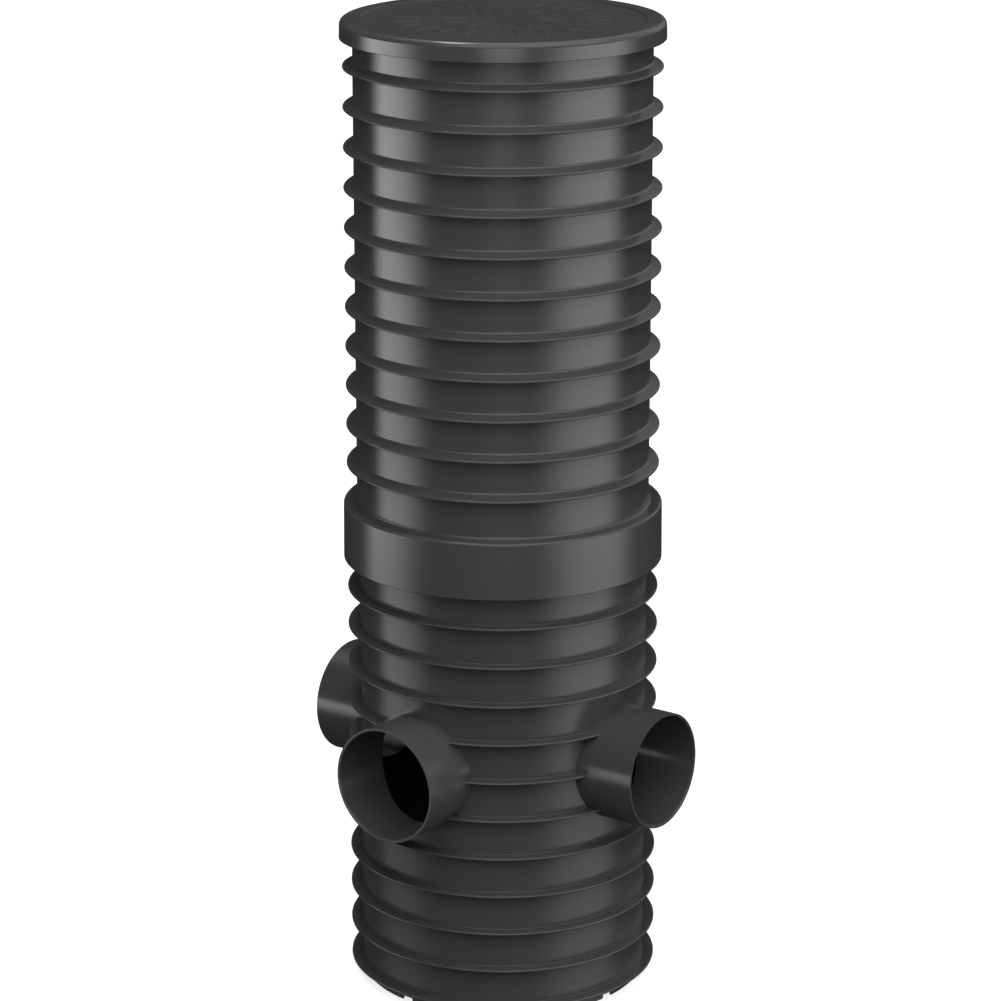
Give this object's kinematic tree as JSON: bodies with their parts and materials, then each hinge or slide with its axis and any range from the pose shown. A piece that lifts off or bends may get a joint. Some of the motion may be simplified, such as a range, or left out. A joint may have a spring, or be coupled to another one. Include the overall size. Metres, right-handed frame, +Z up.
{
  "type": "drainage well",
  "caption": "Ribbed plastic drainage well: a base with three pipe stubs, a riser on a rubber seal, and a lid.",
  "frame": {"origin": "the well's axis at the level of its foot, on the flat hub under the floor", "axes": "+Z up the shaft, +X and -X out of the two stubs that are in line, -Y out of the branch stub"},
  "size_m": [0.372, 0.3368, 0.9282],
  "materials": {
    "well_plastic": "semi-gloss moulded black polypropylene",
    "lid_plastic": "semi-gloss moulded black polypropylene",
    "seal_rubber": "matt black rubber"
  },
  "bodies": {
    "root": {"base": "well_plastic", "riser": "well_plastic", "seal_ring": "seal_rubber", "lid": "lid_plastic"}
  },
  "joints": []
}
